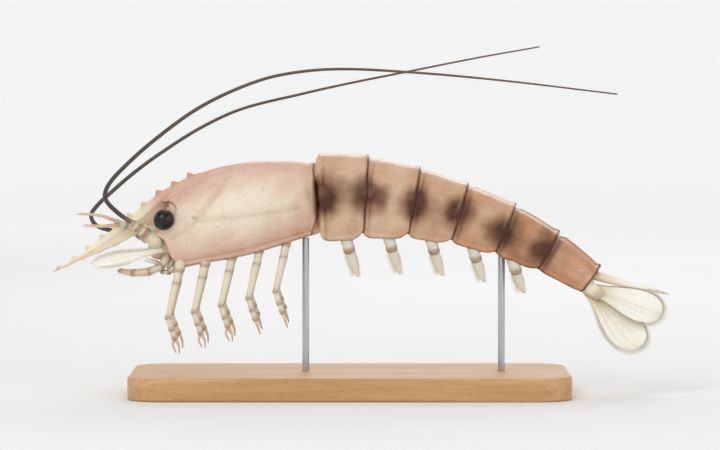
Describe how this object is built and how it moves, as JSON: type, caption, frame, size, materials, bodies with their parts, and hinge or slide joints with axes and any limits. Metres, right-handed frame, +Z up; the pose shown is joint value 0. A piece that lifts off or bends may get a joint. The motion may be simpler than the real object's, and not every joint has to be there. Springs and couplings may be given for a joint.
{
  "type": "prawn specimen model on display stand",
  "caption": "Life-size still model of a penaeid prawn in a swimming pose, held above a flat wooden base by steel rods.",
  "frame": {"origin": "centre of the underside of the stand's base, on the surface that it stands on", "axes": "+X towards the tail, the head points along -X; +Y towards the animal's right side; +Z up"},
  "size_m": [0.1604, 0.0528, 0.0905],
  "materials": {
    "shell": "satin",
    "tail_shell": "satin",
    "rostrum": "satin",
    "limb": "satin",
    "fan": "satin",
    "flesh": "satin",
    "eye": "gloss",
    "whip": "satin",
    "beech": "satin",
    "steel": "satin"
  },
  "bodies": {
    "root": {"carapace": "shell", "rostrum": "rostrum", "head": "flesh", "thorax": "flesh", "mouthparts": "flesh", "eye_left": "eye", "eyestalk_left": "limb", "antennule_left": "limb", "antenna_base_left": "limb", "antenna_1_left": "whip", "antenna_2_left": "whip", "antenna_3_left": "whip", "antennal_scale_left": "fan", "maxilliped_left": "limb", "leg_1_left": "limb", "leg_2_left": "limb", "leg_3_left": "limb", "leg_4_left": "limb", "leg_5_left": "limb", "pleopod_1_left": "limb", "pleopod_2_left": "limb", "pleopod_3_left": "limb", "pleopod_4_left": "limb", "pleopod_5_left": "limb", "uropod_endopod_left": "fan", "uropod_exopod_left": "fan", "eye_right": "eye", "eyestalk_right": "limb", "antennule_right": "limb", "antenna_base_right": "limb", "antenna_1_right": "whip", "antenna_2_right": "whip", "antenna_3_right": "whip", "antennal_scale_right": "fan", "maxilliped_right": "limb", "leg_1_right": "limb", "leg_2_right": "limb", "leg_3_right": "limb", "leg_4_right": "limb", "leg_5_right": "limb", "pleopod_1_right": "limb", "pleopod_2_right": "limb", "pleopod_3_right": "limb", "pleopod_4_right": "limb", "pleopod_5_right": "limb", "uropod_endopod_right": "fan", "uropod_exopod_right": "fan", "abdomen_1": "tail_shell", "abdomen_2": "tail_shell", "abdomen_3": "tail_shell", "abdomen_4": "tail_shell", "abdomen_5": "tail_shell", "abdomen_6": "tail_shell", "telson": "fan", "stand_base": "beech", "stand_rod_front": "steel", "stand_rod_rear": "steel"}
  },
  "joints": []
}
